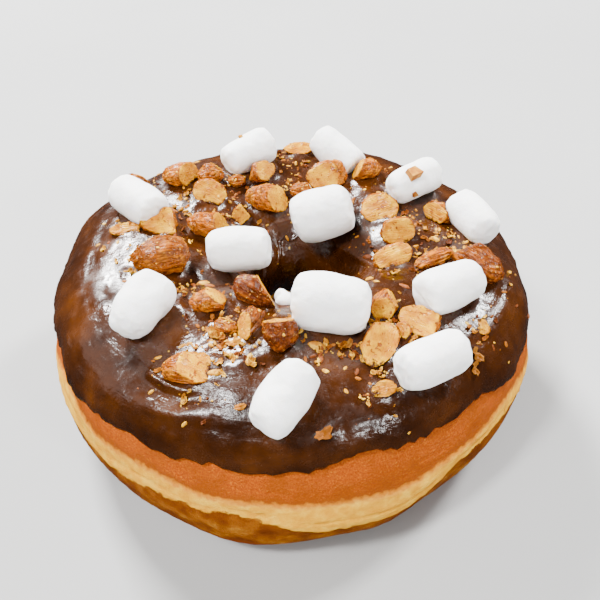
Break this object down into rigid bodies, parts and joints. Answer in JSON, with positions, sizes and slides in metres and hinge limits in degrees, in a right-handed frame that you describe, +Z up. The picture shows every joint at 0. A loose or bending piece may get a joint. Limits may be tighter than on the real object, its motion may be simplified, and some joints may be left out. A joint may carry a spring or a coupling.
{
  "type": "rocky road ring doughnut",
  "caption": "Raised ring doughnut with chocolate icing, mini marshmallows and chopped roasted almonds, lying flat with its hole open from top to bottom.",
  "frame": {"origin": "centre of the doughnut's flat foot, on the surface that it lies on", "axes": "+Z up through the hole, out of the iced side; -Y towards the side that the picture shows nearest; +X to the picture's right"},
  "size_m": [0.101, 0.101, 0.0473],
  "materials": {
    "dough": "fried raised dough: golden brown with a pale band at the waist",
    "icing": "glossy dark chocolate icing",
    "marshmallow": "soft matte white marshmallow",
    "almond": "roasted almond: red-brown skin and cream-yellow cut faces"
  },
  "bodies": {
    "root": {"almond_bit_back": "almond", "almond_bit_far_back": "almond", "almond_bit_front": "almond", "almond_bit_hole_back": "almond", "almond_bit_right": "almond", "almond_block_left": "almond", "almond_chip_front": "almond", "almond_chip_right": "almond", "almond_chunk_back": "almond", "almond_chunk_back_left": "almond", "almond_chunk_back_right": "almond", "almond_chunk_far_back": "almond", "almond_chunk_far_right": "almond", "almond_chunk_front": "almond", "almond_chunk_hole_left": "almond", "almond_chunk_right": "almond", "almond_cup_hole_right": "almond", "almond_disc_back_left": "almond", "almond_disc_right": "almond", "almond_half_back": "almond", "almond_half_far_left": "almond", "almond_half_hole_front": "almond", "almond_half_hole_left": "almond", "almond_half_hole_right": "almond", "almond_half_left": "almond", "almond_half_outer_left": "almond", "almond_half_right": "almond", "almond_slice_front_right": "almond", "almond_slice_right": "almond", "almond_sliver_far_back": "almond", "almond_sliver_left": "almond", "almond_sliver_right": "almond", "almond_splinter_front": "almond", "almond_split_front_left": "almond", "dough": "dough", "icing": "icing", "marshmallow_back": "marshmallow", "marshmallow_back_left": "marshmallow", "marshmallow_back_right": "marshmallow", "marshmallow_far_left": "marshmallow", "marshmallow_far_right": "marshmallow", "marshmallow_front": "marshmallow", "marshmallow_front_right": "marshmallow", "marshmallow_hole_back": "marshmallow", "marshmallow_hole_left": "marshmallow", "marshmallow_left": "marshmallow", "marshmallow_middle": "marshmallow", "marshmallow_right": "marshmallow", "marshmallow_scrap": "marshmallow"}
  },
  "joints": []
}
